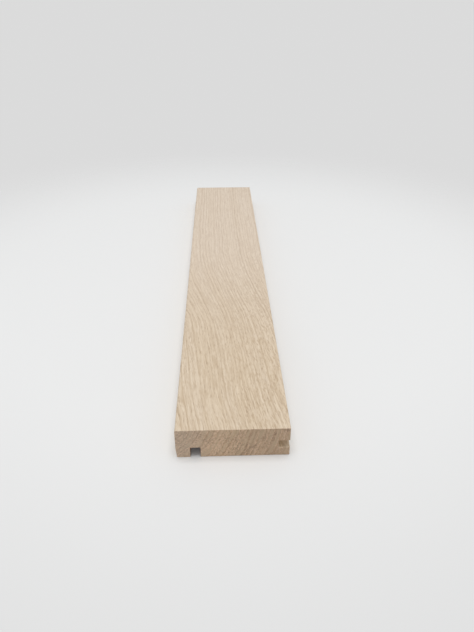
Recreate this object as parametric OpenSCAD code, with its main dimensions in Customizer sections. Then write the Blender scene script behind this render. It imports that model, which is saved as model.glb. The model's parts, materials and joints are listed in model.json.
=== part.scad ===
// Solid oak threshold strip: one planed and grooved stave of oak, sawn square at both ends.
// X runs across the strip, with +X on the side of the floor boards. Y runs along it. Z is up.
// The origin is the middle of the underside.

/* [Stave] */
// Width across the strip, edge to edge
strip_w = 65; // [55:1:90]
// Thickness from the underside to the walking face
strip_t = 20; // [18:0.5:25]
// Length between the two sawn ends
strip_l = 430; // [200:10:1200]

/* [Edge groove] */
// Height of the groove that takes a floor board's tongue
edge_groove_h = 5.5; // [4.5:0.1:7]
// Depth of that groove into the floor side of the strip
edge_groove_d = 6.5; // [4.5:0.5:10]
// Thickness of the lip above it, down from the walking face
upper_lip_t = 9; // [7:0.1:10]

/* [Underside groove] */
// Width of the sawn groove along the underside
under_groove_w = 5.8; // [4.5:0.1:8]
// Depth of that groove, up from the underside
under_groove_d = 7; // [4.5:0.5:9]
// Width of the foot between the outer edge and that groove
outer_foot_w = 8.3; // [6:0.1:15]

/* [Edges] */
// How far the outer edge is cut back at the underside, so that its upper part meets first
relief_w = 0.6; // [0.2:0.1:1.5]
// Height at which the outer edge starts to lean back
relief_h = 6; // [4:0.5:12]
// Radius of the eased arris between the outer edge and the walking face
nose_r = 1.5; // [0.4:0.1:3]
// Radius of the eased arris between the outer edge and the underside
foot_r = 0.6; // [0.2:0.1:1]
// Radius of the two barely eased arrises on the floor side
floor_arris_r = 0.3; // [0.2:0.1:0.6]

/* [Hidden] */
oak = "burlywood";
arc_fn = 48;
// How far a cutter runs past the wood, so that it leaves no skin
overrun = 1;
cut_l = strip_l + 2 * overrun;
half_w = strip_w / 2;
groove_floor_z = strip_t - upper_lip_t - edge_groove_h;
under_groove_x = outer_foot_w - half_w;
relief_angle = atan(relief_w / relief_h);

// A bar along Y, centred lengthways, with its low corner at (x, z) and of size w by h
module bar(x, z, w, h, length) {
    translate([x, -length / 2, z])
        cube([w, length, h]);
}

// What the moulder takes out of the floor side, for the board's tongue
module edge_groove() {
    bar(half_w - edge_groove_d, groove_floor_z, edge_groove_d + overrun, edge_groove_h, cut_l);
}

// What the saw takes out of the underside, near the outer edge
module under_groove() {
    bar(under_groove_x, -overrun, under_groove_w, under_groove_d + overrun, cut_l);
}

// The thin wedge planed off the lower part of the outer edge
module outer_relief() {
    // The slanted side carries on past the underside by the overrun
    low_w = relief_w * (relief_h + overrun) / relief_h;
    rotate([90, 0, 0])
        linear_extrude(height = cut_l, center = true)
            polygon([[-half_w, relief_h], [-half_w - overrun, relief_h],
                     [-half_w - overrun, -overrun], [-half_w + low_w, -overrun]]);
}

// The waste outside one rounded arris of radius r. side is -1 on the outer edge and 1 on the
// floor side, level is -1 at the underside and 1 at the walking face. The edge there stands
// inset from the full width, and leans by the angle lean.
module arris_waste(side, level, r, inset = 0, lean = 0) {
    centre_in = inset + r * (1 - sin(lean)) / cos(lean);
    centre_z = level > 0 ? strip_t - r : r;
    waste_h = r * (1 - sin(lean)) + overrun;
    difference() {
        bar(side > 0 ? half_w - centre_in : -half_w - overrun,
            level > 0 ? strip_t + overrun - waste_h : -overrun,
            centre_in + overrun, waste_h, cut_l);
        translate([side * (half_w - centre_in), 0, centre_z])
            rotate([90, 0, 0])
                cylinder(r = r, h = cut_l + 2 * overrun, center = true, $fn = arc_fn);
    }
}

// The whole strip, a single piece of oak
module oak_strip() {
    color(oak)
        difference() {
            bar(-half_w, 0, strip_w, strip_t, strip_l);
            edge_groove();
            under_groove();
            outer_relief();
            arris_waste(-1, 1, nose_r);
            arris_waste(-1, -1, foot_r, relief_w, relief_angle);
            arris_waste(1, 1, floor_arris_r);
            arris_waste(1, -1, floor_arris_r);
        }
}

oak_strip();
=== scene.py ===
import json
import math
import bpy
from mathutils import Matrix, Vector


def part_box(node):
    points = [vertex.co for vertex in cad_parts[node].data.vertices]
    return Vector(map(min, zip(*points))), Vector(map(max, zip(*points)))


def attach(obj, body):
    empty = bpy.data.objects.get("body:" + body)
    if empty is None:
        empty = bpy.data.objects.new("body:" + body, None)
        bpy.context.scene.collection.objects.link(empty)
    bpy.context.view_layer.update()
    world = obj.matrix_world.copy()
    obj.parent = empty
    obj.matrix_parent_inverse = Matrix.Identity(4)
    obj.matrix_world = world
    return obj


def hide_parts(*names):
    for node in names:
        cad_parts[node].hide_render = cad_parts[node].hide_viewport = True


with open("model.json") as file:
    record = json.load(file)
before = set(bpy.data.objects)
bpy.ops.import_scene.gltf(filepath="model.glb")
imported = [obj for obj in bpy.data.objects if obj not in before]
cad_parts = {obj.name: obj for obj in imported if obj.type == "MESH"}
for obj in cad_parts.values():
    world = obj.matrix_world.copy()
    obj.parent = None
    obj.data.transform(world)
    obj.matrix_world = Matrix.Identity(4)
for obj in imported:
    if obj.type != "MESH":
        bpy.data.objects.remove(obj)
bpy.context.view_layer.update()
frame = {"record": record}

from types import SimpleNamespace

import bpy
from mathutils import Vector, noise

bl_info = {
    "name": "Oak threshold strip",
    "version": (1, 0, 0),
    "blender": (4, 5, 0),
    "location": "View3D > Sidebar > Threshold",
    "description": "Makes a bare oak threshold strip with its figure and the marks of the saw",
    "category": "Add Mesh",
}

NODE = "oak_strip"
BODY = "root"
LOW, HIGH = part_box(NODE)
MOUNTS = {mount["name"]: Vector(mount["pos_m"]) for mount in frame["record"]["mounts"]}
MM = 0.001
# Less than any real size here
EPS = 1e-6


def tone(red, green, blue):
    """A colour as painters' 0 to 255 values, turned into the linear values that shaders use."""
    shares = [value / 255 for value in (red, green, blue)]
    return tuple(s / 12.92 if s <= 0.04045 else ((s + 0.055) / 1.055) ** 2.4 for s in shares)


# ---------------------------------------------------------------- settings


def size(name, description, default):
    """A length setting, in metres."""
    return bpy.props.FloatProperty(
        name=name, description=description, default=default, min=0, precision=5,
        subtype="DISTANCE", unit="LENGTH",
    )


def position(name, description, default):
    """A setting for a place on an axis, in metres, on either side of the origin."""
    return bpy.props.FloatProperty(
        name=name, description=description, default=default, precision=5,
        subtype="DISTANCE", unit="LENGTH",
    )


def colour(name, description, default):
    """A colour setting."""
    return bpy.props.FloatVectorProperty(
        name=name, description=description, default=default, size=3, min=0, max=1,
        subtype="COLOR",
    )


class StripSizes(bpy.types.PropertyGroup):
    """Sizes of the moulded profile and of the mesh that draws it."""

    edge_groove_h: size("Edge groove height", "Height of the tongue groove", 5.5 * MM)
    edge_groove_d: size("Edge groove depth", "Depth of the tongue groove", 6.5 * MM)
    under_groove_w: size("Under groove width", "Width of the sawn groove below", 5.8 * MM)
    under_groove_d: size("Under groove depth", "Depth of the sawn groove below", 7 * MM)
    relief_w: size("Relief width", "How far the outer edge leans in at its foot", 0.6 * MM)
    relief_h: size("Relief height", "Height at which the outer edge starts to lean", 6 * MM)
    nose_r: size("Nose radius", "Eased arris between outer edge and walking face", 1.5 * MM)
    foot_r: size("Foot radius", "Eased arris between outer edge and underside", 0.6 * MM)
    floor_arris_r: size("Floor side radius", "The two arrises on the floor side", 0.3 * MM)
    section_step: size("Section step", "Widest mesh cell across the strip", 0.5 * MM)
    station_step: size("Station step", "Widest mesh cell along the strip", 4 * MM)
    end_break: size("End break", "Mean width of the worn edge round a sawn end", 0.16 * MM)


class OakFigure(bpy.types.PropertyGroup):
    """Where the rings, pores and rays of the wood run, and its colours, with the painted shade of the
    sawn groove and the painted sheen of the far half.
    """

    ring_w: size("Ring width", "Mean width of a year's growth", 2.4 * MM)
    pith_out: size("Pith distance", "How far outside the outer edge the pith lies", 21 * MM)
    pith_up: size("Pith height", "How far above the walking face it lies at the front", 16 * MM)
    pith_far: size("Far pith height", "How far above it lies at the far end", 41 * MM)
    swerve_start: position("Swerve start", "Where along the strip the grain starts to swerve", -112 * MM)
    swerve_end: position("Swerve end", "Where it runs straight again", 25 * MM)
    pale: colour("Pale wood", "Dense late wood", tone(235, 219, 197))
    warm: colour("Warm wood", "Broad warmer bands", tone(230, 212, 187))
    line: colour("Early wood", "The porous line that starts each ring", tone(198, 175, 146))
    pore: colour("Pore", "Inside an open pore", tone(158, 130, 103))
    ray: colour("Ray", "Medullary rays and their flecks", tone(244, 230, 213))
    # Painted sheen: the far half of the strip leans to this paler, cooler tone, standing in for the
    # sheen it shows when seen at a low angle
    far_sheen: colour("Far sheen", "What the colour of the far half leans to", tone(237, 224, 213))
    # Painted shade: this darkens the walls of the sawn groove below, so that its inside reads as a dark,
    # shaded recess
    kerf_shade: colour("Kerf", "Walls of the sawn groove, darkened with painted shade", tone(116, 78, 55))
    end: colour("End grain", "Tint of the wood where it is cut across", tone(252, 239, 231))
    outer: colour("Outer end grain", "Greyer end grain near the outer edge", tone(202, 190, 180))
    speck: colour("Specks", "Gathered vessels in the end grain", tone(146, 121, 102))


class SawMarks(bpy.types.PropertyGroup):
    """The arcs and the rough wood that the saw leaves on both ends."""

    pitch: size("Pitch", "Distance between two arcs of the blade", 1.3 * MM)
    depth: size("Depth", "Depth of the deepest arcs", 0.05 * MM)
    fuzz: size("Fuzz", "Height of the rough wood between the arcs", 0.06 * MM)
    blade: size("Blade radius", "Radius of the blade", 150 * MM)
    seed: bpy.props.IntProperty(name="Seed", description="Picks other arcs", default=7)


class StudioStage(bpy.types.PropertyGroup):
    """Camera, lights and floor."""

    eye: bpy.props.FloatVectorProperty(
        name="Camera place", description="Where the camera stands", size=3,
        default=(-5.13 * MM, -437.3 * MM, 228.1 * MM), subtype="TRANSLATION", unit="LENGTH",
    )
    tilt: bpy.props.FloatProperty(
        name="Camera tilt", description="Turn up from looking straight down",
        default=math.radians(58.85), subtype="ANGLE", unit="ROTATION",
    )
    heading: bpy.props.FloatProperty(
        name="Camera heading", description="Turn to the left from looking along the strip",
        default=math.radians(-1.93), subtype="ANGLE", unit="ROTATION",
    )
    lens: bpy.props.FloatProperty(
        name="Lens", description="Focal length on a 36 mm sensor, in millimetres", default=30.63
    )
    floor: colour("Floor", "Pale paper under the strip", (0.88, 0.885, 0.885))
    key: bpy.props.FloatProperty(
        name="Key power", description="Watts of the large overhead light", default=20.0
    )
    key_place: bpy.props.FloatVectorProperty(
        name="Key place", description="Where that light hangs", size=3,
        default=(0.0, -0.2, 2.0), subtype="TRANSLATION", unit="LENGTH",
    )
    key_width: size("Key width", "Side of that light's square panel", 1.15)
    fill: bpy.props.FloatProperty(
        name="Fill strength", description="Strength of the light from all round", default=0.50
    )
    backdrop: bpy.props.FloatProperty(
        name="Backdrop", description="How pale the backdrop looks, black to white", default=0.71
    )
    middle: position("Paper middle", "Where along the strip the middle of the paper lies", 0.025)
    fade_start: size("Paper fade start", "How far from its middle the paper starts to fade", 0.20)
    fade_end: size("Paper fade end", "Where it has gone", 0.48)


# ---------------------------------------------------------------- shader maths


class Value:
    """One socket's number, vector or colour. Arithmetic on a number adds Math nodes."""

    def __init__(self, graph, socket):
        self.graph = graph
        self.socket = socket

    def _math(self, operation, *terms):
        return self.graph.add("ShaderNodeMath", {"operation": operation}, dict(enumerate(terms)))

    def __add__(self, other):
        return self._math("ADD", self, other)

    def __radd__(self, other):
        return self._math("ADD", other, self)

    def __sub__(self, other):
        return self._math("SUBTRACT", self, other)

    def __rsub__(self, other):
        return self._math("SUBTRACT", other, self)

    def __mul__(self, other):
        return self._math("MULTIPLY", self, other)

    def __rmul__(self, other):
        return self._math("MULTIPLY", other, self)

    def __truediv__(self, other):
        return self._math("DIVIDE", self, other)

    def __rtruediv__(self, other):
        return self._math("DIVIDE", other, self)

    def __pow__(self, other):
        return self._math("POWER", self, other)

    def __neg__(self):
        return self._math("MULTIPLY", self, -1)

    def sqrt(self):
        return self._math("SQRT", self)

    def fraction(self):
        return self._math("FRACT", self)

    def floor(self):
        return self._math("FLOOR", self)

    def sine(self):
        return self._math("SINE", self)

    def cosine(self):
        return self._math("COSINE", self)

    def sign(self):
        return self._math("SIGN", self)

    def angle_over(self, across):
        return self._math("ARCTAN2", self, across)

    def beside(self, output):
        """Another output of the same node."""
        return Value(self.graph, self.socket.node.outputs[output])

    def fade(self, start, end):
        """0 at start, 1 at end and smooth between, whichever of the two is larger."""
        ramp = {"interpolation_type": "SMOOTHSTEP"}
        if start < end:
            return self.graph.add("ShaderNodeMapRange", ramp, {0: self, 1: start, 2: end})
        return 1 - self.graph.add("ShaderNodeMapRange", ramp, {0: self, 1: end, 2: start})


class Graph:
    """A node tree under construction, of a material or of a Geometry Nodes modifier."""

    def __init__(self, tree):
        self.tree = tree
        tree.nodes.clear()

    def add(self, kind, settings=None, inputs=None, output=0):
        """Adds one node, sets it up, feeds its sockets and returns one of its outputs."""
        node = self.tree.nodes.new(kind)
        for name, value in (settings or {}).items():
            setattr(node, name, value)
        for name, value in (inputs or {}).items():
            if isinstance(value, Value):
                self.tree.links.new(value.socket, node.inputs[name])
            else:
                node.inputs[name].default_value = value
        return Value(self, node.outputs[output]) if node.outputs else None

    def parts(self, vector):
        """The three numbers of a vector."""
        first = self.add("ShaderNodeSeparateXYZ", None, {0: vector})
        return [Value(self, socket) for socket in first.socket.node.outputs]

    def vector(self, x, y, z):
        """A vector of three numbers."""
        return self.add("ShaderNodeCombineXYZ", None, {0: x, 1: y, 2: z})

    def scaled(self, place, cell):
        """A place measured in cells instead of millimetres."""
        return self.add("ShaderNodeVectorMath", {"operation": "DIVIDE"}, {0: place, 1: cell})

    def grain(self, place, cell, detail=2.0, roughness=0.5):
        """Smooth noise about 0.5 whose blobs are cell millimetres across, on each axis."""
        where = self.scaled(place, cell)
        sockets = {"Vector": where, "Scale": 1.0, "Detail": detail, "Roughness": roughness}
        return self.add("ShaderNodeTexNoise", None, sockets)

    def chance(self, number):
        """A random share from 0 to 1 that stays the same for the same number."""
        return self.add("ShaderNodeTexWhiteNoise", {"noise_dimensions": "1D"}, {"W": number})

    def blend(self, share, first, second, mode="MIX"):
        """A colour between first and second."""
        settings = {"data_type": "RGBA", "blend_type": mode}
        return self.add("ShaderNodeMix", settings, {0: share, 6: first, 7: second}, output=2)


def new_material(name):
    """A material without nodes yet, and the graph that will hold them."""
    material = bpy.data.materials.new(name)
    material.use_nodes = True
    return material, Graph(material.node_tree)


def paint(rgb):
    """A colour as a socket takes it, solid."""
    return (*rgb, 1.0)


def ring_place(g, mm, figure):
    """Where a place lies in the log: its distance from the pith, and how far round the pith.

    The pith lies above the strip and outside its outer edge. It drifts outwards along the near
    half, and climbs away from the strip where the grain swerves.
    """
    x, y, z = g.parts(mm)
    drift = y.fade(-270, 60) * 23 + y.fade(-235, -180) * 4.2 + y.fade(-100, 20) * 2
    across = x - ((LOW.x - figure.pith_out) / MM - drift)
    near_square = (figure.pith_up / MM) ** 2
    climb = (figure.pith_far / MM) ** 2 - near_square
    start, end = figure.swerve_start / MM, figure.swerve_end / MM
    risen = y.fade(start, start + 64) * 0.35 + y.fade(start + 8, end) * 0.65
    drop = (near_square + climb * risen).sqrt() + (HIGH.z / MM - z)
    wander = (g.grain(mm, (38, 150, 38), 1.0) - 0.5) * 5
    ripple = (g.grain(mm, (6, 26, 6), 2.0) - 0.5) * 2.0
    r = (across * across + drop * drop).sqrt() + wander + ripple
    usual_r = 55
    return r, drop.angle_over(across) * usual_r


def add_years(g, wood, ring_w):
    """Wide and narrow years, each marked more or less strongly, with gaps along its length."""
    uneven = (g.grain(g.vector(wood.r, 0, 0), (5, 1, 1), 1.0) - 0.5) * 1.9
    years = wood.r / (ring_w / MM) + uneven
    year, phase = years.floor(), years.fraction()
    gaps = g.grain(wood.along, (1.4, 6, 34), 1.0).fade(0.28, 0.62)
    wood.mark = g.chance(year) ** 1.3 * (0.35 + 0.65 * gaps)
    wood.early = phase.fade(0.0, 0.14) * phase.fade(0.58, 0.16)
    wood.late_edge = phase.fade(0.72, 0.98)
    wood.dense = g.chance(year + 0.5) ** 2 * phase.fade(0.3, 0.5) * phase.fade(0.95, 0.75)
    wood.crowded = phase.fade(0.0, 0.3) * phase.fade(0.8, 0.35) * g.chance(year + 0.25)


def add_fibres(g, wood):
    """Fibres and pores, which follow the rings along the strip, and the rays that cross them."""
    wood.fibre = g.grain(wood.along, (0.3, 0.3, 14), 3.0, 0.7)
    wood.thread = g.grain(wood.along, (0.9, 0.9, 16), 2.0, 0.65)
    wood.streak = g.grain(wood.along, (2.6, 5, 90), 2.0, 0.6)
    vessels = {"Vector": g.scaled(wood.along, (0.36, 0.36, 4.5)), "Scale": 1.0}
    vessel = g.add("ShaderNodeTexVoronoi", None, vessels)
    kept = g.parts(vessel.beside("Color"))[0]
    wood.pores = vessel.fade(0.46, 0.2) * kept.fade(0.35, 0.55) * (0.25 + wood.early * 0.75)
    # Dashes are rays that the planer cut nearly end on, thickest towards the near floor side
    thick = 0.42 + 0.58 * (wood.x.fade(-14, 24) * wood.y.fade(60, -60))
    dashes = g.grain(wood.along, (0.75, 1.2, 4.2), 1.0, 0.6)
    wood.dashes = dashes.fade(0.53, 0.68) * thick
    wood.ray = g.grain(wood.round_pith, (13, 0.5, 9), 1.0).fade(0.58, 0.72)
    # Vessels that gather in specks, which show where the wood is cut across
    specks = g.grain(wood.round_pith, (0.62, 1.5, 60), 1.0, 0.7)
    wood.specks = specks.fade(0.56, 0.36)


def planed_colour(g, wood, figure):
    """The wood's colour where it is cut along the grain, with a painted sheen on its far half."""
    line = paint(figure.line)
    broad = g.grain(wood.along, (9, 30, 200), 1.0).fade(0.3, 0.7)
    shade = g.blend(broad, paint(figure.pale), paint(figure.warm))
    shade = g.blend(wood.streak.fade(0.35, 0.7) * 0.5, shade, paint(figure.warm))
    lively = 1 + 0.45 * wood.y.fade(-130, -70)
    shade = g.blend(wood.early * (0.16 + 0.8 * wood.mark) * lively, shade, line)
    shade = g.blend(wood.late_edge * (0.05 + 0.25 * wood.mark), shade, line)
    shade = g.blend(wood.thread.fade(0.62, 0.3) * 0.62, shade, line)
    shade = g.blend(wood.fibre.fade(0.62, 0.3) * 0.42, shade, line)
    shade = g.blend(wood.dashes * 0.85, shade, line)
    shade = g.blend(wood.ray * 0.12, shade, paint(figure.ray))
    shade = g.blend(wood.pores * 0.55, shade, paint(figure.pore))
    # Painted sheen: towards the far end the colour leans to a paler, cooler tone
    return g.blend(wood.y.fade(-180, 60) * 0.34, shade, paint(figure.far_sheen))


def kerf_shade_colour(g, wood, shade, figure, sizes):
    """The same colour, but darker on the walls that the saw left in the groove below: painted shade that
    deepens the dark inside of the groove.
    """
    off_middle = wood.x - MOUNTS["under_groove"].x / MM
    wall = sizes.under_groove_w / 2 / MM
    roof = sizes.under_groove_d / MM
    between = (off_middle * off_middle).sqrt().fade(wall + 0.1, wall + 0.05)
    # The groove's walls and roof, but not the sawn ends, get the painted shade
    kerf_shade = between * wood.z.fade(roof + 0.1, roof + 0.05) * (1 - wood.sawn)
    return g.blend(kerf_shade * 0.9, shade, paint(figure.kerf_shade))


def sawn_colour(g, wood, shade, figure):
    """The wood's colour where it is cut across.

    Its vessels gather in dark specks, and rays and the dense wood of some years stand out
    lighter. It is greyer near the outer edge and darker towards the floor side.
    """
    line, speck = paint(figure.line), paint(figure.speck)
    cross = g.blend(1.0, shade, paint(figure.end), "MULTIPLY")
    bands = g.grain(wood.round_pith, (1.5, 12, 90), 1.0).fade(0.5, 0.66)
    clouds = g.grain(wood.mm, (11, 60, 7), 1.0).fade(0.35, 0.65)
    cross = g.blend(wood.crowded * 0.4, cross, speck)
    cross = g.blend(wood.specks * (0.35 + 0.4 * clouds), cross, speck)
    cross = g.blend(wood.dense * 0.45, cross, line)
    cross = g.blend(bands * (0.9 - 0.4 * clouds), cross, line)
    cross = g.blend(wood.ray * 0.45, cross, line)
    cross = g.blend(wood.x.fade(-8, -30) * 0.22, cross, paint(figure.outer))
    return g.blend(wood.x.fade(-4, 24) * 0.16, cross, speck)


def wood_relief(wood):
    """Height of open pores, soft early wood, fibres and the ripple of the planer knives, in mm."""
    knife_pitch, knife_h = 1.8, 0.004
    knives = (wood.y * (2 * math.pi / knife_pitch)).sine()
    planed = knives * (knife_h * (1 - wood.sawn))
    grooves = wood.pores * 0.12 + wood.early * 0.02 + wood.specks * wood.sawn * 0.04
    return wood.fibre * 0.02 + planed - grooves


def bare_oak(figure, sizes):
    """Solid oak: the same rings, pores and rays come out on every face, wherever it is cut.

    Every feature of the wood is a share from 0 to 1. Lengths are in millimetres, and the cells
    of a noise are given across the rings, round them and along the strip.
    """
    material, g = new_material("bare_oak")
    place = g.add("ShaderNodeTexCoord", None, None, output=3)
    mm = g.add("ShaderNodeVectorMath", {"operation": "SCALE"}, {0: place, "Scale": 1 / MM})
    wood = SimpleNamespace(mm=mm)
    wood.x, wood.y, wood.z = g.parts(mm)
    wood.r, arc = ring_place(g, mm, figure)
    wood.along = g.vector(wood.r, wood.z, wood.y)
    wood.round_pith = g.vector(wood.r, arc, wood.y)
    wood.sawn = g.add("ShaderNodeAttribute", {"attribute_name": "end_grain"}, None, output=2)
    add_years(g, wood, figure.ring_w)
    add_fibres(g, wood)

    planed = kerf_shade_colour(g, wood, planed_colour(g, wood, figure), figure, sizes)
    shade = g.blend(wood.sawn, planed, sawn_colour(g, wood, planed, figure))
    relief = {"Strength": 0.6, "Distance": MM, "Height": wood_relief(wood)}
    bump = g.add("ShaderNodeBump", None, relief)
    rough = 0.52 + wood.early * 0.12 + wood.pores * 0.15 - wood.ray * 0.06 + wood.sawn * 0.2
    skin = {"Base Color": shade, "Roughness": rough, "Normal": bump, "IOR": 1.45}
    skin["Specular IOR Level"] = 0.4
    surface = g.add("ShaderNodeBsdfPrincipled", None, skin)
    g.add("ShaderNodeOutputMaterial", None, {"Surface": surface})
    return material


def pale_paper(stage):
    """Matt paper that fades into the backdrop all round. The fade is painted shade: the paper grows
    darker away from its middle, as if less light fell there.
    """
    material, g = new_material("pale_paper")
    place = g.add("ShaderNodeTexCoord", None, None, output=3)
    x, y = g.parts(place)[:2]
    ahead = y - stage.middle
    mottle = g.add("ShaderNodeTexNoise", None, {"Vector": place, "Scale": 3.0})
    shade = g.blend(mottle * 0.5, paint(stage.floor), paint(value * 0.98 for value in stage.floor))
    skin = {"Base Color": shade, "Roughness": 0.9, "Specular IOR Level": 0.1}
    paper = g.add("ShaderNodeBsdfPrincipled", None, skin)
    gone = g.add("ShaderNodeBsdfTransparent")
    # Painted shade: the paper gives way to the dimmer backdrop towards its rim
    far = (x * x + ahead * ahead).sqrt().fade(stage.fade_start, stage.fade_end)
    surface = g.add("ShaderNodeMixShader", None, {0: far, 1: paper, 2: gone})
    g.add("ShaderNodeOutputMaterial", None, {"Surface": surface})
    return material


def soft_world(stage):
    """Even light from all round, in front of a paler backdrop that only the eye sees."""
    world = bpy.data.worlds.new("soft_fill")
    world.use_nodes = True
    g = Graph(world.node_tree)
    seen = g.add("ShaderNodeLightPath")
    strength = stage.fill + seen * (stage.backdrop - stage.fill)
    sky = g.add("ShaderNodeBackground", None, {"Color": (1, 1, 1, 1), "Strength": strength})
    g.add("ShaderNodeOutputWorld", None, {"Surface": sky})
    return world


# ---------------------------------------------------------------- the strip


def wobble(*place):
    """Smooth noise from -1 to 1 at a point given in its own cell sizes."""
    return noise.noise(Vector(place))


def spread(stops, step):
    """Mesh lines at every stop, and between stops no further apart than step."""
    lines = [stops[0]]
    for start, end in zip(stops, stops[1:]):
        cells = max(1, math.ceil((end - start) / step - EPS))
        lines += [start + (end - start) * k / cells for k in range(1, cells + 1)]
    return lines


class Section:
    """The strip's cross-section as a grid of cells, with the two grooves left out."""

    def __init__(self, sizes):
        self.sizes = sizes
        under_x = MOUNTS["under_groove"].x
        edge_z = MOUNTS["edge_groove"].z
        self.under = (under_x - sizes.under_groove_w / 2, under_x + sizes.under_groove_w / 2)
        self.edge = (edge_z - sizes.edge_groove_h / 2, edge_z + sizes.edge_groove_h / 2)
        self.edge_x = HIGH.x - sizes.edge_groove_d
        # Corners to round: where it is, which way is out, and its radius
        self.corners = [
            (LOW.x, HIGH.z, -1, 1, sizes.nose_r),
            (LOW.x, LOW.z, -1, -1, sizes.foot_r),
            (HIGH.x, HIGH.z, 1, 1, sizes.floor_arris_r),
            (HIGH.x, LOW.z, 1, -1, sizes.floor_arris_r),
        ]
        x_stops = {LOW.x, HIGH.x, self.edge_x, *self.under}
        z_stops = {LOW.z, HIGH.z, sizes.under_groove_d, *self.edge}
        for x, z, out_x, out_z, radius in self.corners:
            for share in (0.25, 0.5, 0.75, 1.0):
                x_stops.add(x - out_x * radius * share)
                z_stops.add(z - out_z * radius * share)
        self.xs = spread(sorted(x_stops), sizes.section_step)
        self.zs = spread(sorted(z_stops), sizes.section_step)
        self.walls = self.straight_walls()

    def solid(self, i, k):
        """Whether the cell between lines i, i + 1 and k, k + 1 is wood."""
        if not (0 <= i < len(self.xs) - 1 and 0 <= k < len(self.zs) - 1):
            return False
        x = (self.xs[i] + self.xs[i + 1]) / 2
        z = (self.zs[k] + self.zs[k + 1]) / 2
        in_under = self.under[0] < x < self.under[1] and z < self.sizes.under_groove_d
        in_edge = self.edge[0] < z < self.edge[1] and x > self.edge_x
        return not (in_under or in_edge)

    def cells(self):
        """Every cell that is wood."""
        return [
            (i, k)
            for i in range(len(self.xs) - 1)
            for k in range(len(self.zs) - 1)
            if self.solid(i, k)
        ]

    def outline(self):
        """The grid points round the section, in order, with the wood on the left hand."""
        after = {}
        for i, k in self.cells():
            if not self.solid(i, k - 1):
                after[(i, k)] = (i + 1, k)
            if not self.solid(i + 1, k):
                after[(i + 1, k)] = (i + 1, k + 1)
            if not self.solid(i, k + 1):
                after[(i + 1, k + 1)] = (i, k + 1)
            if not self.solid(i - 1, k):
                after[(i, k + 1)] = (i, k)
        start = min(after)
        loop = [start]
        while after[loop[-1]] != start:
            loop.append(after[loop[-1]])
        return loop

    def place(self, point, wear=0.0):
        """Where a grid point lies in the section, once the corners are eased, and worn by wear."""
        x, z = self.xs[point[0]], self.zs[point[1]]
        for corner_x, corner_z, out_x, out_z, radius in self.corners:
            far_x = (x - corner_x) * out_x + radius
            far_z = (z - corner_z) * out_z + radius
            if far_x > EPS and far_z > EPS:
                eased = max(far_x, far_z) / math.hypot(far_x, far_z) * (1 - wear)
                x = corner_x - out_x * (radius - far_x * eased)
                z = corner_z - out_z * (radius - far_z * eased)
        lean = self.sizes.relief_w * max(0.0, 1 - (z - LOW.z) / self.sizes.relief_h)
        near = max(0.0, 1 - (x - LOW.x) / (self.under[0] - LOW.x))
        return x + lean * near, z

    def straight_walls(self):
        """The walls of the section, each as its low and high end and the way into the wood."""
        under_low, under_high = self.under
        edge_low, edge_high = self.edge
        roof = self.sizes.under_groove_d
        return [
            ((LOW.x, LOW.z), (LOW.x, HIGH.z), (1, 0)),
            ((LOW.x, HIGH.z), (HIGH.x, HIGH.z), (0, -1)),
            ((HIGH.x, edge_high), (HIGH.x, HIGH.z), (-1, 0)),
            ((HIGH.x, LOW.z), (HIGH.x, edge_low), (-1, 0)),
            ((self.edge_x, edge_low), (self.edge_x, edge_high), (-1, 0)),
            ((self.edge_x, edge_low), (HIGH.x, edge_low), (0, -1)),
            ((self.edge_x, edge_high), (HIGH.x, edge_high), (0, 1)),
            ((LOW.x, LOW.z), (under_low, LOW.z), (0, 1)),
            ((under_high, LOW.z), (HIGH.x, LOW.z), (0, 1)),
            ((under_low, LOW.z), (under_low, roof), (-1, 0)),
            ((under_high, LOW.z), (under_high, roof), (1, 0)),
            ((under_low, roof), (under_high, roof), (0, 1)),
        ]

    def worn(self, point, side):
        """Where a grid point lies on a sawn end, whose points draw in from the broken edges."""
        x, z = self.place(point)
        chip = 1.7 * MM
        broken = self.sizes.end_break * (1 + 0.9 * wobble(x / chip, z / chip, side * 5.3))
        reach = 6 * self.sizes.end_break
        move_x = move_z = 0.0
        for low, high, way in self.walls:
            gap_x = max(low[0] - x, 0.0, x - high[0])
            gap_z = max(low[1] - z, 0.0, z - high[1])
            pull = broken * max(0.0, 1 - math.hypot(gap_x, gap_z) / reach)
            move_x += way[0] * pull
            move_z += way[1] * pull
        return x + move_x, z + move_z


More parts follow.
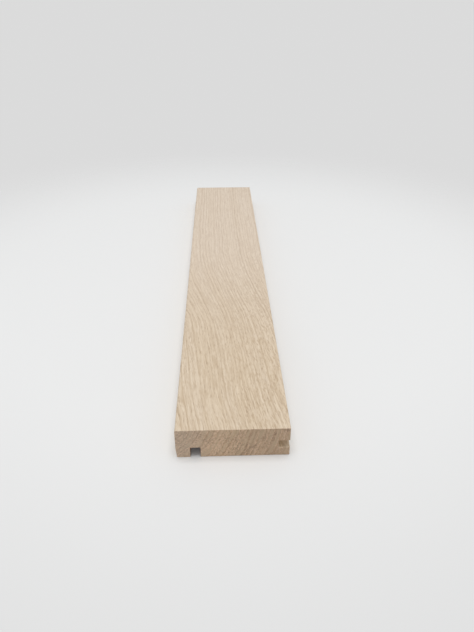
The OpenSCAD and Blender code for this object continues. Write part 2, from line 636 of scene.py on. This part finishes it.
def strip_mesh(sizes):
    """The strip as one closed mesh, with its end faces marked in the end_grain attribute."""
    section = Section(sizes)
    loop = section.outline()
    rim_depth = 2 * sizes.end_break
    stations = spread([LOW.y + rim_depth, HIGH.y - rim_depth], sizes.station_step)
    points, faces = [], []

    # Planed faces, station by station, their arrises handled a little more here than there
    wear_cell = 11 * MM
    for y in stations:
        for point in loop:
            wear = 0.05 * wobble(point[0], point[1], y / wear_cell)
            x, z = section.place(point, wear)
            points.append((x, y, z))
    round_count = len(loop)
    for s in range(len(stations) - 1):
        for k in range(round_count):
            a, b = s * round_count + k, s * round_count + (k + 1) % round_count
            faces.append((b, a, a + round_count, b + round_count))

    # Sawn ends, each a grid whose rim is drawn in a little where the edge has broken
    end_start = len(points)
    for side, row in ((-1, 0), (1, len(stations) - 1)):
        y = LOW.y if side < 0 else HIGH.y
        found = {}
        for cell in section.cells():
            quad = []
            for di, dk in ((0, 0), (1, 0), (1, 1), (0, 1)):
                point = (cell[0] + di, cell[1] + dk)
                if point not in found:
                    x, z = section.worn(point, side)
                    found[point] = len(points)
                    points.append((x, y, z))
                quad.append(found[point])
            faces.append(tuple(quad) if side < 0 else tuple(reversed(quad)))
        for k in range(round_count):
            here, ahead = found[loop[k]], found[loop[(k + 1) % round_count]]
            a, b = row * round_count + k, row * round_count + (k + 1) % round_count
            faces.append((a, b, ahead, here) if side < 0 else (here, ahead, b, a))

    mesh = bpy.data.meshes.new("oak_strip_planed")
    mesh.from_pydata(points, [], faces)
    mesh.validate()
    marks = mesh.attributes.new("end_grain", "FLOAT", "POINT")
    marks.data.foreach_set("value", [float(i >= end_start) for i in range(len(points))])
    mesh.polygons.foreach_set("use_smooth", [True] * len(mesh.polygons))
    mesh.set_sharp_from_angle(angle=math.radians(32))
    return mesh


def saw_tree():
    """Geometry Nodes that cut the blade's arcs into a strip's sawn ends."""
    tree = bpy.data.node_groups.new("saw_marks", "GeometryNodeTree")
    g = Graph(tree)
    sockets = {
        "Strip": "NodeSocketGeometry", "Pitch": "NodeSocketFloat", "Depth": "NodeSocketFloat",
        "Fuzz": "NodeSocketFloat", "Blade radius": "NodeSocketFloat", "Seed": "NodeSocketInt",
        "Wood": "NodeSocketMaterial",
    }
    for name, kind in sockets.items():
        tree.interface.new_socket(name, in_out="INPUT", socket_type=kind)
    tree.interface.new_socket("Sawn strip", in_out="OUTPUT", socket_type="NodeSocketGeometry")
    given = tree.nodes.new("NodeGroupInput")
    strip, pitch, depth, fuzz, blade, seed, wood = (
        Value(g, given.outputs[name]) for name in sockets
    )

    # Each end has its own arcs, because its blade stood elsewhere and the noise is read elsewhere
    hub_off, hub_up = 40 * MM, 0.95
    place = g.add("GeometryNodeInputPosition")
    x, y, z = g.parts(place)
    side = y.sign()
    across = x - (hub_off * side)
    above = z - blade * hub_up
    from_hub = (across * across + above * above).sqrt()
    spot = g.vector(x / MM, y / MM + seed * 31, z / MM)
    shake = (g.grain(spot, (9, 9, 9), 1.0) - 0.5) * 1.6
    arc = 0.5 - ((from_hub / pitch + shake) * (2 * math.pi)).cosine() * 0.5
    strength = g.grain(g.vector(from_hub / MM, side * 8 + seed, 0), (4, 1, 1), 1.0)
    rough = g.grain(spot, (0.7, 0.7, 0.7), 2.0, 0.6)
    end = g.add("GeometryNodeInputNamedAttribute", {"data_type": "FLOAT"}, {"Name": "end_grain"})
    cut = (arc * strength * depth + rough * fuzz) * end
    moved = {"Geometry": strip, "Offset": g.vector(0, -side * cut, 0)}
    sawn = g.add("GeometryNodeSetPosition", None, moved)
    whole = g.add("GeometryNodeRealizeInstances", None, {"Geometry": sawn})
    done = g.add("GeometryNodeSetMaterial", None, {"Geometry": whole, "Material": wood})
    g.add("NodeGroupOutput", None, {"Sawn strip": done})
    return tree


def baked(thing, tree, values):
    """The plain mesh that a tree makes of an object, with the tree's inputs set by name."""
    modifier = thing.modifiers.new(tree.name, "NODES")
    modifier.node_group = tree
    for item in tree.interface.items_tree:
        if item.in_out == "INPUT" and item.name in values:
            modifier[item.identifier] = values[item.name]
    ready = thing.evaluated_get(bpy.context.evaluated_depsgraph_get())
    mesh = bpy.data.meshes.new_from_object(ready)
    thing.modifiers.remove(modifier)
    return mesh


class OAK_OT_strip(bpy.types.Operator):
    """Makes the planed, grooved and sawn oak strip"""

    bl_idname = "threshold.oak_strip"
    bl_label = "Oak strip"

    def execute(self, context):
        saw = context.scene.saw_marks
        strip = bpy.data.objects.new("oak_strip_planed", strip_mesh(context.scene.strip_sizes))
        context.collection.objects.link(strip)
        strip.data = baked(strip, saw_tree(), {
            "Pitch": saw.pitch, "Depth": saw.depth, "Fuzz": saw.fuzz,
            "Blade radius": saw.blade, "Seed": saw.seed,
            "Wood": bare_oak(context.scene.oak_figure, context.scene.strip_sizes),
        })
        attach(strip, BODY)
        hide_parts(NODE)
        return {"FINISHED"}


# ---------------------------------------------------------------- stage


def add_key(stage):
    """The large soft light overhead, which faces the middle of the strip."""
    panel = bpy.data.lights.new("overhead_key", "AREA")
    panel.shape = "SQUARE"
    panel.size = stage.key_width
    panel.energy = stage.key
    light = bpy.data.objects.new("overhead_key", panel)
    light.location = stage.key_place
    light.rotation_euler = (-Vector(stage.key_place)).to_track_quat("-Z", "Y").to_euler()
    bpy.context.collection.objects.link(light)


def add_camera(stage):
    """The camera, which becomes the scene's own."""
    lens = bpy.data.cameras.new("camera")
    lens.lens = stage.lens
    lens.sensor_width = 36
    lens.clip_start = 0.01
    camera = bpy.data.objects.new("camera", lens)
    camera.location = stage.eye
    camera.rotation_euler = (stage.tilt, 0, stage.heading)
    bpy.context.collection.objects.link(camera)
    bpy.context.scene.camera = camera


def paper_mesh(stage):
    """A square sheet that reaches as far as the paper is seen."""
    half = stage.fade_end
    near, far = stage.middle - half, stage.middle + half
    # Just clear of the underside, so that the two never share a plane
    level = LOW.z - 0.1 * MM
    corners = [(-half, near, level), (half, near, level), (half, far, level), (-half, far, level)]
    mesh = bpy.data.meshes.new("paper")
    mesh.from_pydata(corners, [], [(0, 1, 2, 3)])
    return mesh


class OAK_OT_stage(bpy.types.Operator):
    """Sets up the paper, the soft lights and the camera"""

    bl_idname = "threshold.stage"
    bl_label = "Studio stage"

    def execute(self, context):
        stage = context.scene.studio_stage
        paper = bpy.data.objects.new("paper", paper_mesh(stage))
        paper.data.materials.append(pale_paper(stage))
        context.collection.objects.link(paper)
        add_key(stage)
        add_camera(stage)
        context.scene.world = soft_world(stage)
        context.scene.view_settings.view_transform = "Standard"
        return {"FINISHED"}


# ---------------------------------------------------------------- add-on


class OAK_PT_threshold(bpy.types.Panel):
    """Sidebar panel with the settings and the pieces"""

    bl_idname = "OAK_PT_threshold"
    bl_label = "Threshold strip"
    bl_space_type = "VIEW_3D"
    bl_region_type = "UI"
    bl_category = "Threshold"

    def draw(self, context):
        for name, group in SETTINGS.items():
            box = self.layout.box()
            for setting in group.__annotations__:
                box.prop(getattr(context.scene, name), setting)
        for operator in PIECES:
            self.layout.operator(operator.bl_idname)


SETTINGS = {
    "strip_sizes": StripSizes,
    "oak_figure": OakFigure,
    "saw_marks": SawMarks,
    "studio_stage": StudioStage,
}
PIECES = (OAK_OT_stage, OAK_OT_strip)
CLASSES = (*SETTINGS.values(), *PIECES, OAK_PT_threshold)


def register():
    for cls in CLASSES:
        bpy.utils.register_class(cls)
    for name, group in SETTINGS.items():
        setattr(bpy.types.Scene, name, bpy.props.PointerProperty(type=group))


def unregister():
    for name in SETTINGS:
        delattr(bpy.types.Scene, name)
    for cls in reversed(CLASSES):
        bpy.utils.unregister_class(cls)


def main():
    register()
    for operator in PIECES:
        family, name = operator.bl_idname.split(".")
        getattr(getattr(bpy.ops, family), name)()


if __name__ == "__main__":
    main()
